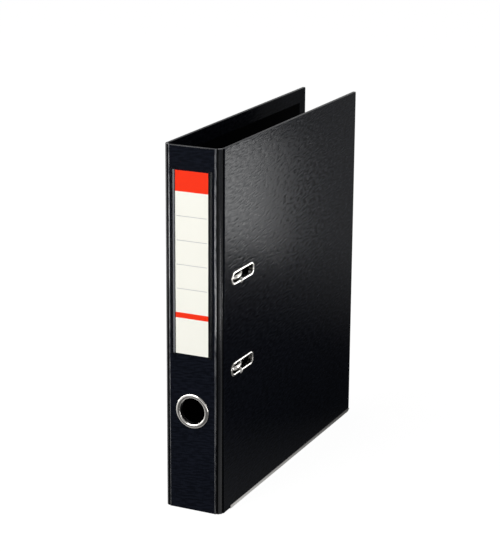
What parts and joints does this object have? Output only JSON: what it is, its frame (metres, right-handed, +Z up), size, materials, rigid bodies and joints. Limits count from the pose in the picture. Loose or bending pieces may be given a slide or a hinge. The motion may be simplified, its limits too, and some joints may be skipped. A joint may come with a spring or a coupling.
{
  "type": "ring binder",
  "caption": "Closed A4 lever arch file: covers and spine folding on double creases, lever arch mechanism, finger ring, label pocket and metal-edged cover slots.",
  "frame": {"origin": "on the ground under the middle of the closed binder, midway between the covers and midway from the spine to the fore edge", "axes": "+Z up along the spine, +X out of the front cover, +Y from the spine to the fore edge"},
  "size_m": [0.0571, 0.2864, 0.318],
  "materials": {
    "greyboard": "rough grey board",
    "outer_film": "black polypropylene film with a fine diagonal weave emboss",
    "lining": "black polypropylene film, lightly grained",
    "nickel": "bright nickel plate",
    "spring_steel": "oiled spring steel",
    "clear_film": "clear soft film, glossy",
    "card": "white card with red bands",
    "grip_plastic": "moulded black plastic",
    "roller_plastic": "moulded white acetal"
  },
  "bodies": {
    "back_cover": {"back_board": "greyboard", "back_outer_skin": "outer_film", "back_lining": "lining", "back_bottom_rail": "nickel", "base_plate": "nickel", "ring_posts": "nickel", "mechanism_rivets": "nickel", "lever_pin": "nickel", "arch_spring": "spring_steel"},
    "back_hinge": {"back_hinge_board": "greyboard", "back_hinge_skin": "outer_film", "back_hinge_lining": "lining"},
    "spine": {"spine_board": "greyboard", "spine_outer_skin": "outer_film", "spine_lining": "lining", "finger_ring_outer": "nickel", "finger_ring_inner": "nickel", "label_pocket": "clear_film"},
    "card": {"label_card": "card"},
    "front_hinge": {"front_hinge_board": "greyboard", "front_hinge_skin": "outer_film", "front_hinge_lining": "lining"},
    "front_cover": {"front_board": "greyboard", "front_outer_skin": "outer_film", "front_lining": "lining", "front_bottom_rail": "nickel", "slot_eyelets_outer": "nickel", "slot_eyelets_inner": "nickel"},
    "arches": {"arch_wire": "nickel"},
    "lever": {"lever_channel": "nickel", "lever_grip": "grip_plastic", "roller_pin": "nickel"},
    "roller": {"cam_roller": "roller_plastic"},
    "compressor": {"compressor_bar": "nickel", "compressor_clips": "grip_plastic"}
  },
  "joints": [
    {"name": "back_fold_at_cover", "type": "hinge", "parent": "back_cover", "child": "back_hinge", "pos_m": [-0.02575, -0.13775, 0.1645], "axis": [0, 0, -1], "range_deg": [0, 45]},
    {"name": "back_fold_at_spine", "type": "hinge", "parent": "back_hinge", "child": "spine", "pos_m": [-0.02225, -0.14125, 0.1645], "axis": [0, 0, -1], "range_deg": [0, 45]},
    {"name": "front_fold_at_spine", "type": "hinge", "parent": "spine", "child": "front_hinge", "pos_m": [0.02225, -0.14125, 0.1645], "axis": [0, 0, -1], "range_deg": [0, 45]},
    {"name": "front_fold_at_cover", "type": "hinge", "parent": "front_hinge", "child": "front_cover", "pos_m": [0.02575, -0.13775, 0.1645], "axis": [0, 0, -1], "range_deg": [0, 45]},
    {"name": "lever_lift", "type": "hinge", "parent": "back_cover", "child": "lever", "pos_m": [-0.0063, -0.1067, 0.1365], "axis": [0, 1, 0], "range_deg": [0, 95]},
    {"name": "arch_swing", "type": "hinge", "parent": "back_cover", "child": "arches", "pos_m": [-0.02, -0.1185, 0.1645], "axis": [0, 0, -1], "range_deg": [0, 38]},
    {"name": "roller_spin", "type": "hinge", "parent": "lever", "child": "roller", "pos_m": [-0.0143, -0.1067, 0.1525], "axis": [0, 1, 0], "continuous": true},
    {"name": "compressor_slide", "type": "slide", "parent": "back_cover", "child": "compressor", "axis": [1, 0, 0], "range_m": [0, 0.018]},
    {"name": "card_slide", "type": "slide", "parent": "spine", "child": "card", "axis": [0, 0, 1], "range_m": [0, 0.16]}
  ],
  "couplings": [
    {"joint": "back_fold_at_spine", "follows": "back_fold_at_cover", "ratio": 1},
    {"joint": "lever_lift", "follows": "back_fold_at_cover", "ratio": 2.1111},
    {"joint": "arch_swing", "follows": "back_fold_at_cover", "ratio": 0.84444},
    {"joint": "front_fold_at_cover", "follows": "front_fold_at_spine", "ratio": 1}
  ]
}
